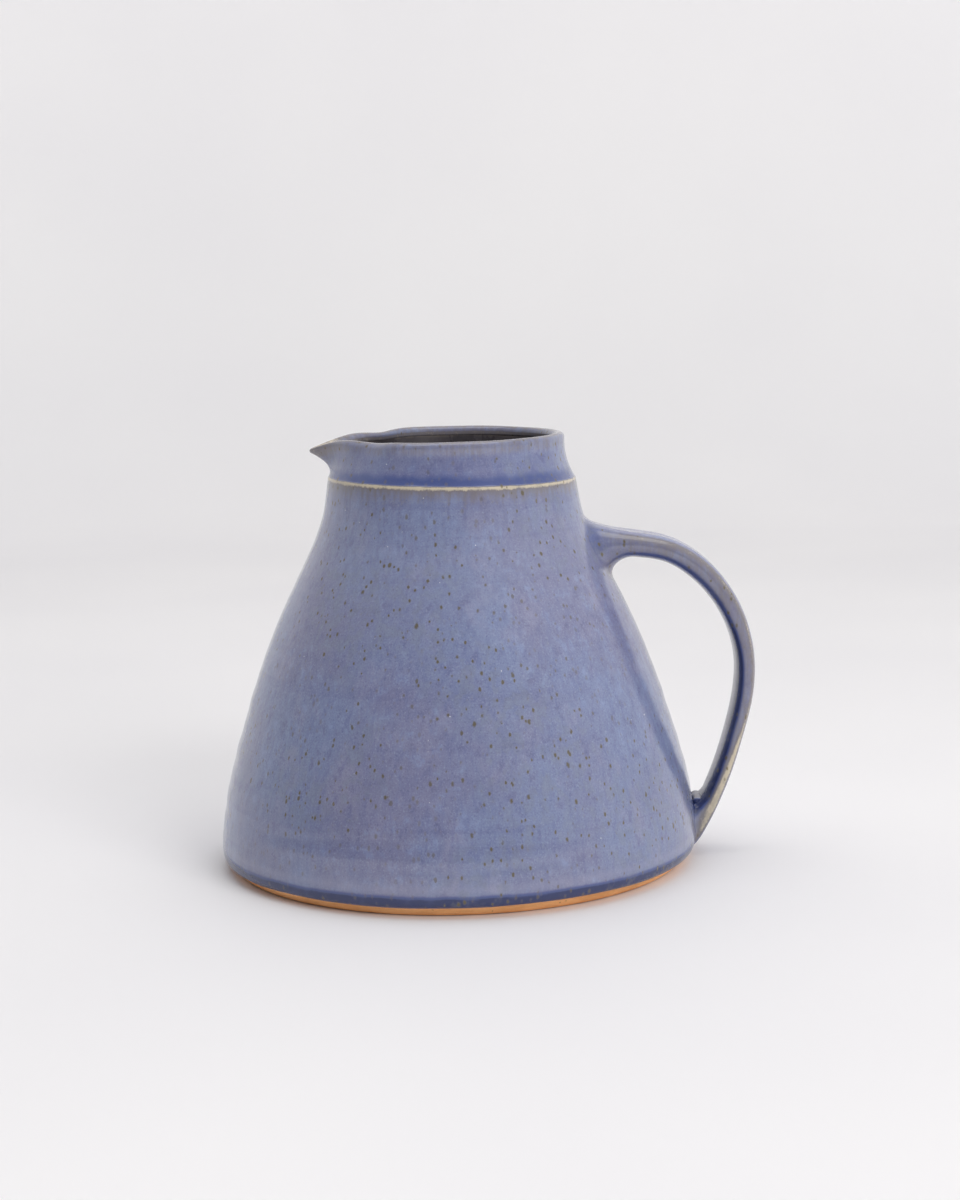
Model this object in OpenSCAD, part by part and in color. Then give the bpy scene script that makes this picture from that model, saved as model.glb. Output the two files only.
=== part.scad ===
// Hand-thrown stoneware pitcher with a pulled strap handle and a pinched lip.
// Origin: centre of the foot on its resting plane. +Z up, handle towards +X, lip towards -X.

/* [Pot] */
// Radius of the foot where it rests
foot_r = 77.5; // [76:0.5:78]
// Height of the bare clay band above the foot
bare_band = 2.9; // [2:0.1:4]
// Thickness of the wall of the pot, clay and glaze together
wall = 4.6; // [3.8:0.2:5.4]
// Thickness of the floor, clay and glaze together
floor_t = 7; // [6:0.5:9]
// Depth of the turned recess under the pot
recess = 2; // [1:0.5:3]
// Width of the ring that the pot rests on
ring_w = 12; // [8:1:16]

/* [Collar and lip] */
// Outer radius of the collar near the rim
collar_r = 38.6; // [38.2:0.1:39]
// Wall thickness at the rim, clay and glaze together
rim_t = 3.8; // [3.2:0.1:4.4]
// Height of the pot at the rim
pot_h = 147.8; // [146:0.2:149]
// How far the lip is drawn out
lip_reach = 11; // [6:0.1:12]
// How far the point of the lip droops
lip_droop = 3.7; // [2:0.1:5]
// How far the rim is pinched in on each side of the lip
pinch_in = 2.8; // [1:0.2:4]

/* [Joints and glaze] */
// Thickness of the fired glaze
glaze = 0.4; // [0.3:0.05:0.5]
// Thickness of the slip that joins handle and pot
slip = 0.8; // [0.6:0.1:1]
// Radius of the rolled coil in the crook of the lower joint
coil_r = 2.1; // [1.8:0.1:2.4]

/* [Hidden] */
$fn = 180;

// Outside of the glazed wall, from the bare band to the ridge: [radius, height]
WALL = [[79.7, 2.9], [81.8, 5.2], [82.5, 8.5], [81.4, 18], [78.3, 33], [70.8, 58], [61.4, 83],
        [49.3, 108], [44.3, 121], [42.9, 129], [42.4, 132.8]];
RIDGE = [42.1, 133.7];  // the edge where wall and collar meet: [radius, height]
collar_z = 134.3;       // foot of the collar, just above the ridge
flare = 3.1;            // how far the collar spreads towards its foot
flare_z = 144;          // height where the spread begins
inner_flare = 2.3;      // the same spread on the inside
wall_steps = 5;         // curve steps between two points of the wall
rim_z = pot_h - rim_t / 2;
let_in = 0.6;           // how far the collar is let into the ridge
snug = 0.2;             // how much the collar narrows on each side where it enters the ridge
hairline = 0.02;        // gap between two runs of the same coat

// Centre line of the strap and its half sizes: [x, z, half thickness, half width]
STRAP = [[40, 102.3, 13, 15.5], [46.5, 105.8, 10.3, 14], [51, 107.9, 7.3, 12.4],
         [57, 108.9, 5.3, 11.2], [64, 108.6, 4.5, 10.5], [73.5, 106.3, 4.3, 10.2],
         [82, 101.4, 4.3, 10], [90, 93.3, 4.1, 10], [96, 83, 3.8, 10], [99.6, 69.5, 3.4, 10],
         [99.2, 56, 3.3, 9.9], [95.9, 42, 3.1, 9.8], [91.4, 28, 3.1, 9.7], [88.3, 20.5, 3.1, 9.7],
         [85.4, 13.9, 3.1, 9.6], [82.6, 7.2, 2.9, 9.2], [81, 3.6, 2.4, 8.6]];
strap_steps = 3;        // rings between two points of the strap
strap_sides = 20;       // points round the strap
strap_square = 2.5;     // 2 is an ellipse, more is squarer

// Footprints of the two joints on the wall: [centre height, half height, half width]
UPPER_JOINT = [107.6, 11.8, 14.2];
LOWER_JOINT = [11.9, 8.8, 10.4];
coil_at = [83.2, 18.4]; // x and z of the coil
coil_l = 13;            // length of the coil between its round ends

// A smooth curve through points, with n steps between neighbours
function knot(p, i) = p[max(0, min(len(p) - 1, i))];
function curve_at(p, i, t) =
    0.5 * (2 * knot(p, i) + (knot(p, i + 1) - knot(p, i - 1)) * t
    + (2 * knot(p, i - 1) - 5 * knot(p, i) + 4 * knot(p, i + 1) - knot(p, i + 2)) * t * t
    + (3 * knot(p, i) - knot(p, i - 1) - 3 * knot(p, i + 1) + knot(p, i + 2)) * t * t * t);
function curve(p, n) = concat(
    [for (i = [0 : len(p) - 2], k = [0 : n - 1]) curve_at(p, i, k / n)], [p[len(p) - 1]]);

// Outline of the wall at depth d under the glazed surface
function wall_line(d) = [for (p = curve(WALL, wall_steps)) [p[0] - d, p[1]]];
function outside(d) = concat(
    wall_line(d),
    [[RIDGE[0] - d, RIDGE[1]], [collar_r + flare - d, collar_z]]);
function inside(d) = concat(
    [[collar_r - rim_t + inner_flare - 0.3 + d, collar_z], [RIDGE[0] - wall + d, RIDGE[1] - 3]],
    [for (i = [8 : -1 : 3]) [WALL[i][0] - wall + d, WALL[i][1]]],
    [for (a = [0 : 15 : 90]) [69.6 + 8 * cos(a) + d, floor_t + 8 - 8 * sin(a) - d]]);

// Section of the collar at depth d, from height z0: up the outside, over the rim, down the inside
collar_n = 6;
rim_n = 6;
rim_mid = collar_r - rim_t / 2;
function heights(z0, z1) = [for (i = [0 : collar_n]) z0 + (z1 - z0) * i / collar_n];
function spread(z) = pow(max(0, (flare_z - z) / (flare_z - collar_z)), 2);
function out_line(d, z0) = [for (z = heights(z0, rim_z)) [collar_r + flare * spread(z) - d, z]];
function in_line(d, z0, z1) = [for (z = heights(z0, z1))
    [collar_r - rim_t + inner_flare * spread(z) + d, z]];
function let_in_foot(line, d) = concat([[line[0][0] + 2 * d, collar_z - let_in]],
    [for (i = [0 : collar_n]) line[i] + [i == 0 ? d : 0, 0]]);
function rim_line(d) = [for (i = [1 : rim_n - 1]) let (a = 180 * i / rim_n)
    [rim_mid + (rim_t / 2 - d) * cos(a), rim_z + (rim_t / 2 - d) * sin(a)]];
function reversed(list) = [for (i = [len(list) - 1 : -1 : 0]) list[i]];

// The lip: how strongly a point at angle a from the lip's middle is drawn out or pinched in
function draw_out(a) = exp(-(sqrt(a * a + 9) - 3) / 8);
function pinch(a) = exp(-pow((abs(a) - 43) / 13, 2));
function up(z) = max(0, min(1, (z - collar_z) / (pot_h - collar_z)));
function lipped(p, a) = let (s = up(p[1]), e = pow(s, 1.3),
    r = p[0] + lip_reach * draw_out(a) * e - pinch_in * pinch(a) * s * s,
    z = p[1] - lip_droop * draw_out(a) * e - 0.8 * pinch(a) * s * s)
    [-r * cos(a), r * sin(a), z];

// Angles round the collar, closest together at the lip
half_turn = 36;
function turn(i) = let (t = i / half_turn) 180 * (0.3 * t + 0.7 * t * abs(t));
ANGLES = [for (i = [-half_turn : half_turn - 1]) turn(i)];

// A ring of closed sections, joined into a solid
module ring_of(section) {
    n = len(ANGLES);
    m = len(section);
    points = [for (a = ANGLES) for (p = section) lipped(p, a)];
    faces = [for (i = [0 : n - 1], j = [0 : m - 1], half = [0, 1])
        let (i2 = (i + 1) % n, j2 = (j + 1) % m)
        half == 0 ? [i * m + j, i2 * m + j2, i * m + j2] : [i * m + j, i2 * m + j, i2 * m + j2]];
    polyhedron(points, faces, convexity = 6);
}

// The whole outside of the pot as one filled solid, grown by g
module filled(g) {
    rotate_extrude()
        polygon(concat([[0, -5], [foot_r + g, -5], [foot_r + g, 0]], outside(-g),
                       [[0, collar_z]]));
}

// The rings of the strap, grown by g
function oval(a) = let (k = 2 / strap_square, c = cos(a), s = sin(a))
    [sign(c) * pow(abs(c), k), sign(s) * pow(abs(s), k)];
function strap_rings(g) = let (line = curve(STRAP, strap_steps), n = len(line))
    [for (i = [0 : n - 1])
        let (p = line[i], q = line[max(0, i - 1)], r = line[min(n - 1, i + 1)],
             t = [r[0] - q[0], r[1] - q[1]] / norm([r[0] - q[0], r[1] - q[1]]))
        for (j = [0 : strap_sides - 1])
            let (o = oval(360 * (j + 0.5) / strap_sides), u = o[0] * (p[2] + g))
            [p[0] - t[1] * u, o[1] * (p[3] + g), p[1] + t[0] * u]];
// Two triangles for each four-sided face between ring i and ring i2, from point base on
function band(base, i, i2, m) = [for (j = [0 : m - 1], half = [0, 1])
    let (a = base + i * m + j, b = base + i * m + (j + 1) % m,
         c = base + i2 * m + j, d = base + i2 * m + (j + 1) % m)
    half == 0 ? [a, d, c] : [a, b, d]];
function turned(faces) = [for (f = faces) [f[0], f[2], f[1]]];

module strap(g) {
    points = strap_rings(g);
    m = strap_sides;
    n = len(points) / m;
    polyhedron(points, concat(
        [for (i = [0 : n - 2]) each band(0, i, i + 1, m)],
        [[for (j = [m - 1 : -1 : 0]) j]],
        [[for (j = [0 : m - 1]) (n - 1) * m + j]]), convexity = 6);
}

// The coat on the strap: its glazed surface, the clay surface, and a rim at each end
module strap_coat() {
    points = concat(strap_rings(0), strap_rings(-glaze));
    m = strap_sides;
    n = len(points) / m / 2;
    polyhedron(points, concat(
        [for (i = [0 : n - 2]) each band(0, i, i + 1, m)],
        [for (i = [0 : n - 2]) each turned(band(n * m, i, i + 1, m))],
        turned(band(0, 0, n, m)),
        band(0, n - 1, 2 * n - 1, m)), convexity = 6);
}

// The part of space in front of a joint on the wall
module footprint(joint) {
    translate([0, 0, joint[0]])
        rotate([90, 0, 90])
            linear_extrude(120)
                polygon([for (i = [0 : 23]) let (o = oval(15 * i))
                    [joint[2] * o[0], joint[1] * o[1]]]);
}

module coil() {
    translate([coil_at[0], coil_l / 2, coil_at[1]])
        rotate([90, 0, 0])
            cylinder(r = coil_r, h = coil_l, $fn = 48);
    for (side = [-1, 1])
        translate([coil_at[0], side * coil_l / 2, coil_at[1]])
            sphere(r = coil_r, $fn = 48);
}

module pot() {
    color([0.745, 0.565, 0.4]) {
        rotate_extrude()
            polygon(concat([[foot_r - ring_w - recess, recess], [foot_r - ring_w, 0], [foot_r, 0],
                            [WALL[0][0], bare_band]],
                           outside(glaze), inside(glaze), [[0, floor_t - glaze], [0, recess]]));
        ring_of(concat(let_in_foot(out_line(glaze, collar_z + hairline), -snug), rim_line(glaze),
                       reversed(let_in_foot(in_line(glaze, collar_z + hairline, rim_z), snug))));
    }
}

module outer_glaze() {
    color([0.47, 0.5, 0.615]) {
        difference() {
            rotate_extrude()
                polygon(concat(wall_line(0), reversed(wall_line(glaze))));
            footprint(UPPER_JOINT);
            footprint(LOWER_JOINT);
        }
        ring_of(concat(out_line(0, collar_z + hairline), rim_line(0),
            [[collar_r - rim_t, rim_z], [collar_r - rim_t + glaze, rim_z]],
            reversed(rim_line(glaze)), reversed(out_line(glaze, collar_z + hairline))));
    }
}

module liner_glaze() {
    color([0.36, 0.34, 0.36]) {
        rotate_extrude()
            polygon(concat(inside(0), [[0, floor_t], [0, floor_t - glaze]],
                           reversed(inside(glaze))));
        ring_of(concat(in_line(glaze, collar_z + hairline, rim_z - hairline),
            reversed(in_line(0, collar_z + hairline, rim_z - hairline))));
    }
}

module handle() {
    color([0.61, 0.57, 0.55])
        difference() {
            strap(-glaze);
            filled(slip - glaze);
        }
}

module handle_glaze() {
    color([0.55, 0.56, 0.64])
        difference() {
            strap_coat();
            filled(slip - glaze);
            coil();
        }
}

module joint_slip(joint) {
    intersection() {
        difference() {
            filled(slip - glaze);
            filled(-glaze);
        }
        footprint(joint);
    }
}

module upper_joint_slip() {
    color([0.5, 0.52, 0.62])
        joint_slip(UPPER_JOINT);
}

module lower_joint_slip() {
    color([0.45, 0.47, 0.58])
        joint_slip(LOWER_JOINT);
}

module joint_coil() {
    color([0.42, 0.4, 0.42])
        difference() {
            coil();
            filled(slip - glaze);
            strap(-glaze);
        }
}

pot();
handle();
upper_joint_slip();
lower_joint_slip();
joint_coil();
outer_glaze();
liner_glaze();
handle_glaze();
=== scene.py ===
"""Looks of the ceramic pitcher: smooth clay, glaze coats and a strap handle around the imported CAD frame.

Shapes are worked out in millimetres of the design and scaled by MM, which comes from the frame.
"""

import math

import bmesh
import bpy
import numpy as np
from mathutils import Matrix, Vector


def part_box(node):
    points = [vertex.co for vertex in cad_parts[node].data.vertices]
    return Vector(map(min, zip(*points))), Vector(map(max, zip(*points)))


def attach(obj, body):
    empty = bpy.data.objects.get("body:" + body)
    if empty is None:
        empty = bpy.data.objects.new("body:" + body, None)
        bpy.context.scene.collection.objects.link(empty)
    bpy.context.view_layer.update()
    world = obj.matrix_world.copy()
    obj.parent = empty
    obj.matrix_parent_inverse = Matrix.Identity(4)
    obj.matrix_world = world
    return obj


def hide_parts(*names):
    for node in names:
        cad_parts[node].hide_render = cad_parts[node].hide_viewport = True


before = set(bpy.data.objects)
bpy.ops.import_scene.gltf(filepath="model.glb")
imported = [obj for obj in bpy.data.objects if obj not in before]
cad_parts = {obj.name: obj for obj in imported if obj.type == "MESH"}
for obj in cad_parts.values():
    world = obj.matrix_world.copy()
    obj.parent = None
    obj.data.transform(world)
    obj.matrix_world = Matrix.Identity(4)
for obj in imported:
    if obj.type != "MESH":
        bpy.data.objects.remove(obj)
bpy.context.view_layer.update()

# ---------------------------------------------------------------- sizes, in millimetres of the design
POT_H = 147.8                                   # height of the rim
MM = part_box("outer_glaze")[1][2] / POT_H        # one of those millimetres, in metres

# Outside of the glazed wall, from the bare clay band to the ridge: (radius, height)
WALL = [(80.1, 2.9), (81.3, 3.8), (81.95, 5.2), (82.2, 7.0), (82.2, 9), (82.0, 12), (81.4, 18), (78.3, 33),
        (70.8, 58), (61.4, 83), (49.3, 108), (44.3, 121), (42.9, 129), (42.35, 133)]
EDGE_Z = 2.9                                    # where the glaze stops above the foot
COLLAR_Z = 134.3
COLLAR_R = 38.6
FLARE = 3.1
FLARE_TOP = 144.0
RIM_T = 3.8
RIM_MID = COLLAR_R - RIM_T / 2
RIM_Z = POT_H - RIM_T / 2
FLOOR_T = 7.0
WALL_T = 4.6
COAT = 0.36                                     # thickness of the glaze
UNDER_COAT = COAT + 0.03                        # depth of the clay's surface under the glaze's
LINER_DEPTH = 0.08                              # how far the liner's face lies behind the plain inside

# The lip, and where the thrown pot isn't quite round and level
LIP_REACH = 11.7
LIP_DROP = 4.3
LIP_WIDTH = 8                                   # degrees over which the lip fades to the sides
PINCH = 2.8                                     # how far the rim is pressed in beside the lip
PINCH_AT = 43                                   # degrees from the lip
PINCH_WIDTH = 13                                # degrees
FOOT_LEAN = 0.7                                 # how far the foot sits to the left of the axis
RIDGE_DROP = 0.55                               # how far the ridge sits below its plain height
RIDGE_TILT = 0.85                               # and how much more on the handle's side

# The strap's centre line and half sizes, after the upper joint and before the lower one: x, z, thick, wide
STRAP = [(62.5, 108.6, 4.5, 10.5), (73.5, 106.3, 4.3, 10.2), (82, 101.4, 4.3, 10), (90, 93.3, 4.1, 10),
         (96, 83, 3.8, 10), (99.6, 69.5, 3.4, 10), (99.2, 56, 3.3, 9.9), (95.9, 42, 3.1, 9.8),
         (91.4, 28, 3.1, 9.7), (88.3, 20.5, 3.1, 9.6)]

STRAP_SQUARE = 2.6                              # 2 is a true oval, more is squarer
GROOVE = 0.45                                   # depth of the groove down the strap's outer face

# Meshes of the outer coat
COLUMNS = 288                                   # faces round the pot
STRAP_RINGS = 150
FILLET_RINGS = 14                               # from the strap's end to just short of the wall
SPREAD_RINGS = 7                                # on the wall, from the fillet to the opening's edge

# The joints: middle height, reach on the outer side and in the crook, half width, the opening in the wall's
# grid that each one fills, which way its outer side looks, and how square its outline is
UPPER = dict(z=108.0, out=11.0, crook=11.0, half_y=13.6, z0=94.5, z1=122.5, rows=24, half_cols=16, up=1.0,
             square=2.3)
LOWER = dict(z=8.4, out=5.38, crook=9.8, half_y=10.3, z0=2.96, z1=22.3, rows=32, half_cols=12, up=-1.0,
             square=6.5)


def smooth_curve(points, count, samples_per_span=24):
    """A natural cubic spline through points, resampled to count points evenly along its length."""
    p = np.array(points, float)
    t = np.concatenate([[0], np.cumsum(np.linalg.norm(np.diff(p[:, :2], axis=0), axis=1))])
    h = np.diff(t)
    n = len(p)
    a = np.eye(n)
    b = np.zeros_like(p)
    for i in range(1, n - 1):
        a[i, i - 1:i + 2] = h[i - 1], 2 * (h[i - 1] + h[i]), h[i]
        b[i] = 6 * ((p[i + 1] - p[i]) / h[i] - (p[i] - p[i - 1]) / h[i - 1])
    m = np.linalg.solve(a, b)                   # second derivatives at the points
    dense = []
    for i in range(n - 1):
        for s in np.linspace(0, 1, samples_per_span, endpoint=i == n - 2):
            x, y = s * h[i], (1 - s) * h[i]
            bend = (m[i] * y ** 3 + m[i + 1] * x ** 3) / (6 * h[i])
            start, end = p[i] / h[i] - m[i] * h[i] / 6, p[i + 1] / h[i] - m[i + 1] * h[i] / 6
            dense.append(bend + start * y + end * x)
    dense = np.array(dense)
    if count is None:
        return dense
    along = np.concatenate([[0], np.cumsum(np.linalg.norm(np.diff(dense[:, :2], axis=0), axis=1))])
    even = np.linspace(0, along[-1], count)
    return np.array([np.interp(even, along, dense[:, k]) for k in range(p.shape[1])]).T


def step(x, lo, hi):
    """0 below lo, 1 above hi, smooth between."""
    t = np.clip((np.asarray(x, float) - lo) / (hi - lo), 0, 1)
    return t * t * (3 - 2 * t)


def bump(x, middle, width):
    """1 in the middle, falling off softly on both sides."""
    return np.exp(-((np.asarray(x, float) - middle) / width) ** 2)


wall_dense = smooth_curve(WALL, None)


def wall_r(z):
    """Radius of the glazed wall at height z, up to the ridge."""
    return np.interp(z, wall_dense[:, 1], wall_dense[:, 0])


def waver(theta, k):
    """A slow uneven wave round the pot, between about -1 and 1."""
    return (np.sin(2 * theta + 1.3 * k) + 0.7 * np.sin(3 * theta + 2.1 * k + 0.6)
            + 0.5 * np.sin(5 * theta + 0.9 * k + 2.2) + 0.35 * np.sin(9 * theta + 3.1 * k)) / 2.2


def degrees_from_lip(theta):
    """How many degrees round the pot from the lip, on either side."""
    return np.degrees(np.abs(np.angle(np.exp(1j * (theta - math.pi)))))


def place(r, z, theta, depth_edge=0.0):
    """A point of the pot from its plain profile: the small unevenness of hand work, then the lip."""
    r, z, theta = np.broadcast_arrays(np.asarray(r, float), np.asarray(z, float), np.asarray(theta, float))
    r = r + 0.10 * waver(theta, z / 60) * step(z, 4, 30) * (1 - step(z, 128, 140))
    # faint throwing rings, stronger low down
    rings = (0.07 * np.sin(z / 1.3 + 1.5 * waver(theta, 1)) + 0.07 * np.sin(z / 2.4 + 2 + waver(theta, 2))
             + 0.07 * np.sin(z / 4.7 + 0.5))
    r = r + rings * step(z, 9, 16) * (1 - 0.75 * step(z, 50, 85)) * (1 - step(z, 126, 132)) * (r > 45)
    # the glaze ran lower on the left than in front
    run = 0.9 * np.exp(-3 * (1 + np.cos(theta))) - 0.45 * np.abs(np.sin(theta))
    near_edge = np.exp(-np.maximum(z - EDGE_Z, 0) / 1.2) * depth_edge
    r = r - 0.45 * run * near_edge
    z = z + (0.20 * waver(theta * 2.0, 4) - run) * near_edge
    z = z - (RIDGE_DROP + RIDGE_TILT * np.cos(theta)) * bump(z, 133.6, 6)
    lean = -FOOT_LEAN * np.exp(-np.maximum(z, 0) / 7)
    # the lip grows from the collar's foot to the rim, and the rim is pressed in on both sides of it
    away = degrees_from_lip(theta)
    up = np.clip((z - COLLAR_Z) / (POT_H - COLLAR_Z), 0, 1)
    lip = np.exp(-(np.sqrt(away * away + 9) - 3) / LIP_WIDTH) * (up - 0.6 * np.maximum(up - 0.859, 0)) ** 1.3
    pinch = np.exp(-((away - PINCH_AT) / PINCH_WIDTH) ** 2) * up * up
    r = r + LIP_REACH * lip - PINCH * pinch
    z = z - LIP_DROP * lip - 0.8 * pinch + 0.22 * up * (waver(theta, 7) - 1.15)
    return np.stack([r * np.cos(theta) + lean, r * np.sin(theta), z], axis=-1)


# ---------------------------------------------------------------- mesh helpers
def set_attributes(mesh, attributes):
    """Gives the mesh a value per point under each name."""
    for key, values in attributes.items():
        layer = mesh.attributes.new(key, "FLOAT", "POINT")
        layer.data.foreach_set("value", np.asarray(values, np.float32))


def make_object(name, points, faces, attributes=None, smooth_angle=38):
    """A smooth object from points in millimetres of the design, with its faces all turned the same way."""
    mesh = bpy.data.meshes.new(name)
    mesh.from_pydata((np.asarray(points) * MM).tolist(), [], faces)
    mesh.validate()
    set_attributes(mesh, attributes or {})
    obj = bpy.data.objects.new(name, mesh)
    bpy.context.scene.collection.objects.link(obj)
    bm = bmesh.new()
    bm.from_mesh(mesh)
    bmesh.ops.recalc_face_normals(bm, faces=bm.faces)
    bm.to_mesh(mesh)
    bm.free()
    mesh.shade_smooth()
    mesh.set_sharp_from_angle(angle=math.radians(smooth_angle))
    return obj


def thicken(obj, thickness):
    """Turns an open coat into a closed shell, by giving it thickness on its inner side."""
    solid = obj.modifiers.new("coat", "SOLIDIFY")
    solid.thickness = thickness * MM
    solid.offset = -1
    solid.use_even_offset = False
    solid.use_rim = True
    apply_modifiers(obj)


def apply_modifiers(obj):
    graph = bpy.context.evaluated_depsgraph_get()
    mesh = bpy.data.meshes.new_from_object(obj.evaluated_get(graph), depsgraph=graph)
    obj.modifiers.clear()
    obj.data = mesh


def grid_faces(rows, columns, skip=()):
    """Quads of a grid that closes round on itself; skip holds (row, column) pairs that are left open."""
    skip = set(skip)
    return [(i * columns + j, i * columns + (j + 1) % columns,
             (i + 1) * columns + (j + 1) % columns, (i + 1) * columns + j)
            for i in range(rows - 1) for j in range(columns) if (i, j) not in skip]


def ring_faces(a, b):
    """Quads between two rings given as lists of point numbers."""
    n = len(a)
    return [(a[k], a[(k + 1) % n], b[(k + 1) % n], b[k]) for k in range(n)]


# ---------------------------------------------------------------- profiles of the pot
def collar_out(z):
    """Radius of the collar's outside at height z."""
    return COLLAR_R + FLARE * (np.clip((FLARE_TOP - z) / (FLARE_TOP - COLLAR_Z), 0, None)) ** 2


def collar_in(z):
    """Radius of the collar's inside at height z."""
    return COLLAR_R - RIM_T + 2.3 * (np.clip((FLARE_TOP - z) / (FLARE_TOP - COLLAR_Z), 0, None)) ** 2


def rim_arc(depth, start, end, count):
    """The rim's round, depth below the glaze, from the angle start to the angle end."""
    angles = np.radians(np.linspace(start, end, count))
    return [(RIM_MID + (RIM_T / 2 - depth) * math.cos(a), RIM_Z + (RIM_T / 2 - depth) * math.sin(a))
            for a in angles]


def collar_profile(depth, count):
    """The outside of the collar, from just above the ridge to the start of the rim's round."""
    return [(collar_out(z) - depth, z) for z in np.linspace(COLLAR_Z + 0.2, RIM_Z, count)]


def ridge_profile(depth):
    """The soft edge of the ridge between wall and collar."""
    return [(r - depth, z) for r, z in ((42.28, 133.35), (42.18, 133.65), (41.98, 133.95), (41.78, 134.2))]


def inside_profile(depth):
    """The inside of the pot from the rim down to the middle of the floor."""
    top = [(collar_in(z) + depth, z) for z in np.linspace(RIM_Z - 0.6, COLLAR_Z + 0.4, 12)]
    joined = [(37.35, 133.2), (37.75, 131), (38.3, 127), (39.3, 121.5)]
    down = [(wall_r(z) - WALL_T, z) for z in (116, 108, 98, 88, 78, 68, 58, 48, 38, 28, 20)]
    corner = [(69.8 + 7.6 * math.cos(a), FLOOR_T + 8 - 8 * math.sin(a))
              for a in np.radians(np.linspace(18, 90, 9))]
    curve = smooth_curve([(r, z) for r, z in joined + down + corner], 70)
    # the floor rises slightly to a small spiral button in the middle
    floor = [(r, FLOOR_T + 0.5 * math.exp(-(r / 7) ** 2) + 0.12 * math.sin(r / 1.7) * (r < 60))
             for r in np.linspace(66, 1.2, 42)]
    wall = [(r + depth, z - depth * step(30 - z, 0, 22)) for r, z in curve]
    return top + wall + [(r, z - depth) for r, z in floor]


# ---------------------------------------------------------------- the strap
def oval(angles):
    """A pulled strap's section: a squarish oval; strap_ring cuts the shallow groove down its outer face."""
    c, s = np.cos(angles), np.sin(angles)
    k = 2 / STRAP_SQUARE
    u = np.sign(c) * np.abs(c) ** k
    v = np.sign(s) * np.abs(s) ** k
    return u, v


def strap_frames(count):
    """Points along the strap's line with their half sizes, and its directions there."""
    line = smooth_curve(STRAP, count)
    d = np.gradient(line[:, :2], axis=0)
    t = d / np.linalg.norm(d, axis=1)[:, None]
    return line, t


def strap_ring(p, t, angles, depth):
    """The strap's section at a point p of its line, with the direction t, depth below the glaze."""
    u, v = oval(angles)
    groove = GROOVE * np.exp(-(v / 0.42) ** 2) * (u > 0) * np.abs(u)
    x = u * (p[2] - depth) - groove
    y = v * (p[3] - depth)
    return np.stack([p[0] - t[1] * x, y, p[1] + t[0] * x], axis=-1)


def joint_ring(joint, angles, grow=1.0):
    """Height and angle round the pot of the loop where the handle meets the wall."""
    c, s = np.cos(angles), np.sin(angles)
    k = 2 / joint["square"]
    tall = np.where(c > 0, joint["out"], joint["crook"])
    z = joint["z"] + joint["up"] * tall * grow * np.sign(c) * np.abs(c) ** k
    y = joint["half_y"] * grow * np.sign(s) * np.abs(s) ** k
    return z, np.arcsin(y / wall_r(z))


def on_wall(z, theta, depth):
    """A point of the glazed wall, or depth below it."""
    r = wall_r(z) - depth
    return place(r, z, theta, 1.0)


def fillet(ring, direction, joint, angles, depth, count, reach0, reach1):
    """Rings that turn from the strap's last ring on to the wall, tangent to both."""
    z, theta = joint_ring(joint, angles)
    end = on_wall(z, theta, depth)
    z2, theta2 = joint_ring(joint, angles, 1.04)
    away = on_wall(z2, theta2, depth) - end
    away /= np.linalg.norm(away, axis=1)[:, None]
    u = oval(angles)[0]
    reach0, reach1 = (np.interp(u, (-1, 0, 1), reach)[:, None] for reach in (reach0, reach1))
    if joint["up"] < 0:
        inward = step(u, -0.1, 0.6)[:, None]
        away = away * (1 - inward) + np.array([-0.95, 0, -0.31]) * inward
    out = []
    for s in np.linspace(0, 1, count + 2)[1:]:
        h00, h10 = 2 * s ** 3 - 3 * s ** 2 + 1, s ** 3 - 2 * s ** 2 + s
        h01, h11 = -2 * s ** 3 + 3 * s ** 2, s ** 3 - s ** 2
        out.append(h00 * ring + h10 * np.asarray(direction) * reach0 + h01 * end + h11 * away * reach1)
    return out


# ---------------------------------------------------------------- pieces
def strap_tint(s, angles):
    """How thin and how pooled the glaze is round the strap, s of the way down it; the navy on its inner side
    is painted shade.
    """
    u, v = oval(angles)
    side = step(np.abs(v), 0.55, 0.95)
    late = step(s, 0.6, 1)
    corner = bump(u, 0.66 - 0.5 * late, 0.20 + 0.13 * late) * step(np.abs(v), 0.55, 0.85)
    inner_face = step(-u, 0.30, 0.75)
    low = step(s, 0.70, 0.98)
    high = 1 - step(s, 0.15, 0.5)
    thin = (0.34 + 0.04 * high + 0.10 * low) * side + (0.42 - 0.12 * high + 0.48 * low) * corner
    # painted shade: navy on the inner face, deeper lower down, and on the inner half of the sides
    pool_and_shade = inner_face * (0.50 + 0.45 * step(s, 0.25, 0.6)) + 0.42 * side * step(-u, -0.1, 0.6)
    return thin, pool_and_shade


def root_tint(joint, angles):
    """The same where the strap's fillet meets the wall, with painted shade at both joints and a painted glare
    under the upper one.
    """
    u, v = oval(angles)
    if joint["up"] > 0:
        # upper joint: a little thin glaze, with a painted glare in tan under the root and painted shade in
        # navy on its sides
        return 0.10 + 0.30 * step(-u, 0.3, 0.9), 0.52 * step(np.abs(v), 0.3, 0.8) * step(u, -0.6, 0.1)
    # lower joint: tan of thin glaze on its outer curve; the navy in the crook is pooled glaze and painted
    # shade
    return 0.12 + 0.42 * bump(u, 0.20, 0.24), 0.95 * step(-u, 0.0, 0.5)


def coat_rows():
    """Heights of the coat's rows up the wall, and the first row of the lower and of the upper opening."""
    lower = np.linspace(LOWER["z0"], LOWER["z1"], LOWER["rows"] + 1)
    middle = np.linspace(LOWER["z1"], UPPER["z0"], 50)[1:-1]
    upper = np.linspace(UPPER["z0"], UPPER["z1"], UPPER["rows"] + 1)
    above = np.linspace(UPPER["z1"], 133.0, 14)[1:]
    heights = np.concatenate([[EDGE_Z], lower, middle, upper, above])
    return heights, 1, 1 + len(lower) + len(middle)


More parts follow.
